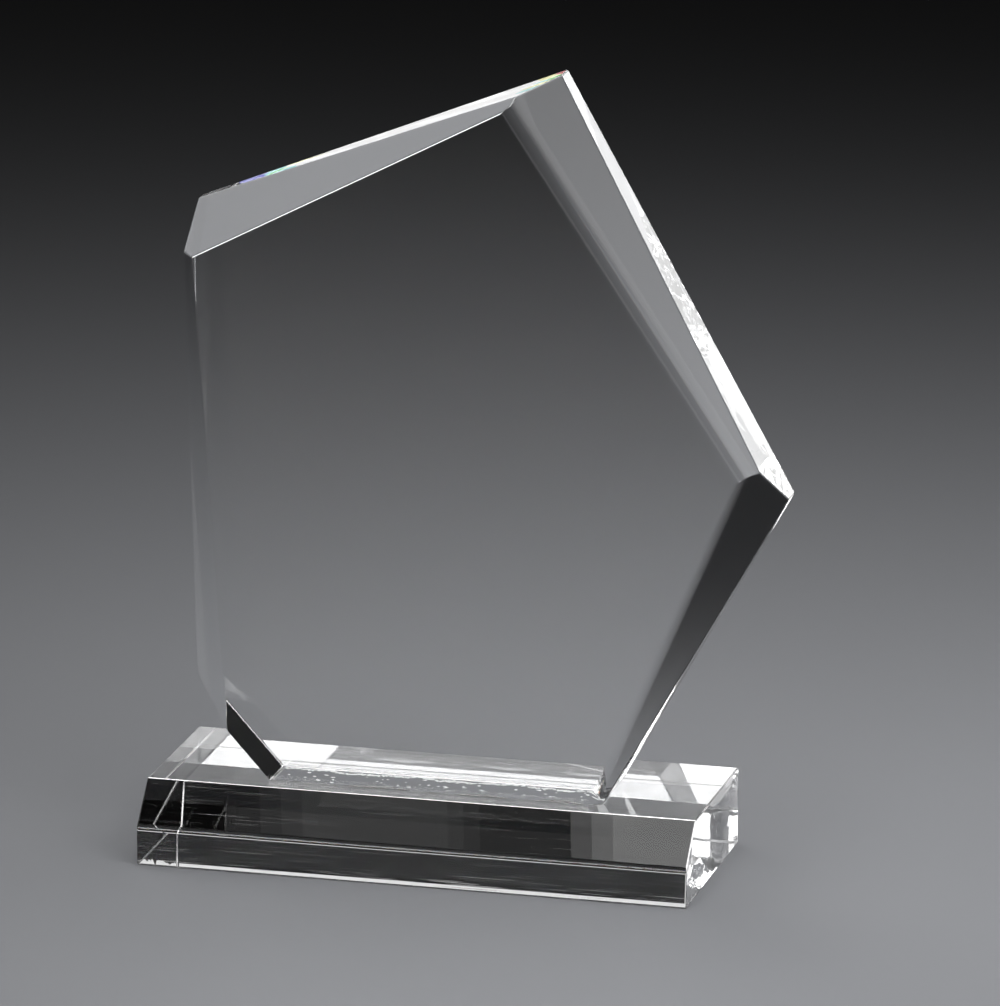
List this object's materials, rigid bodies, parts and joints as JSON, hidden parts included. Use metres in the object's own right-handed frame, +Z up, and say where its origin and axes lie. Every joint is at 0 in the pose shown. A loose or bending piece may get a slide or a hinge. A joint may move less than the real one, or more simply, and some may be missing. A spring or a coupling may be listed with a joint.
{
  "type": "acrylic award",
  "caption": "Clear faceted plaque with an off-centre apex and tapering front bevels, bonded upright on a long base block with a sloping front.",
  "frame": {"origin": "centre of the base block's underside, on the surface that the award stands on", "axes": "+Z up, along the award's longest extent; +X to the right as seen from the front; the front faces -Y, through the award's thinnest extent"},
  "size_m": [0.2015, 0.07, 0.2545],
  "materials": {
    "base_acrylic": "polished clear cast acrylic",
    "cement": "clear cured solvent cement with fine bubbles",
    "plaque_acrylic": "polished clear cast acrylic"
  },
  "bodies": {
    "root": {"base_block": "base_acrylic", "cement_film": "cement", "plaque": "plaque_acrylic"}
  },
  "joints": []
}
